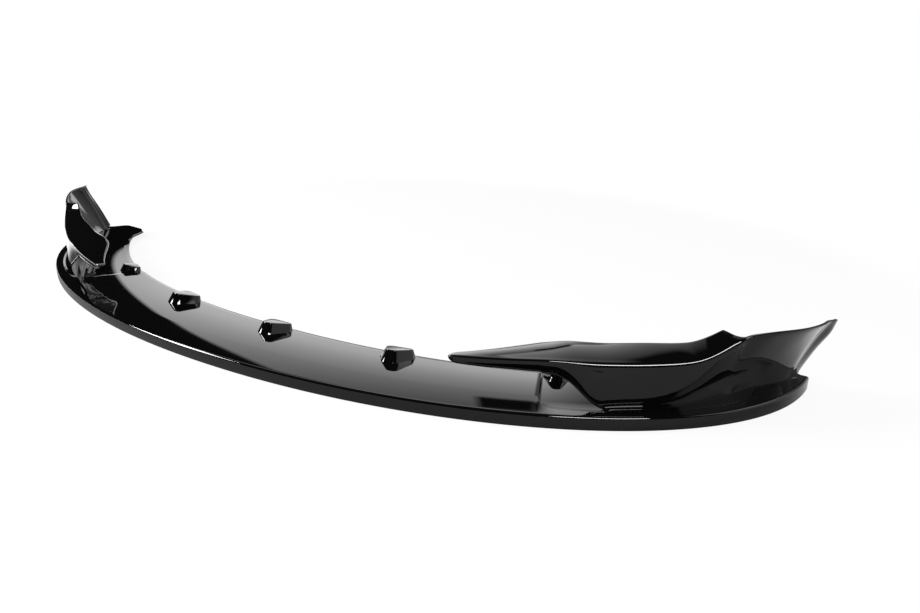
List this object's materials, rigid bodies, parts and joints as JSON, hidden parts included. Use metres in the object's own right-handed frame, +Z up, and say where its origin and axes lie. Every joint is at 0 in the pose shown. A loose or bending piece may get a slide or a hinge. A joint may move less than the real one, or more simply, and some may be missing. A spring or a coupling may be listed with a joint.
{
  "type": "front splitter lip",
  "caption": "Front splitter lip for a car bumper: gloss black swept blade with raised locating blocks and a tall pointed winglet at each end",
  "frame": {"origin": "middle of the part's box, on the plane the lower edge of the front face stands on", "axes": "+X across the car along the part's length, -Y to the front of the car, +Z up"},
  "size_m": [1.7486, 0.4522, 0.1295],
  "materials": {
    "gloss_black": "high gloss black"
  },
  "bodies": {
    "root": {"splitter_lip": "gloss_black"}
  },
  "joints": []
}
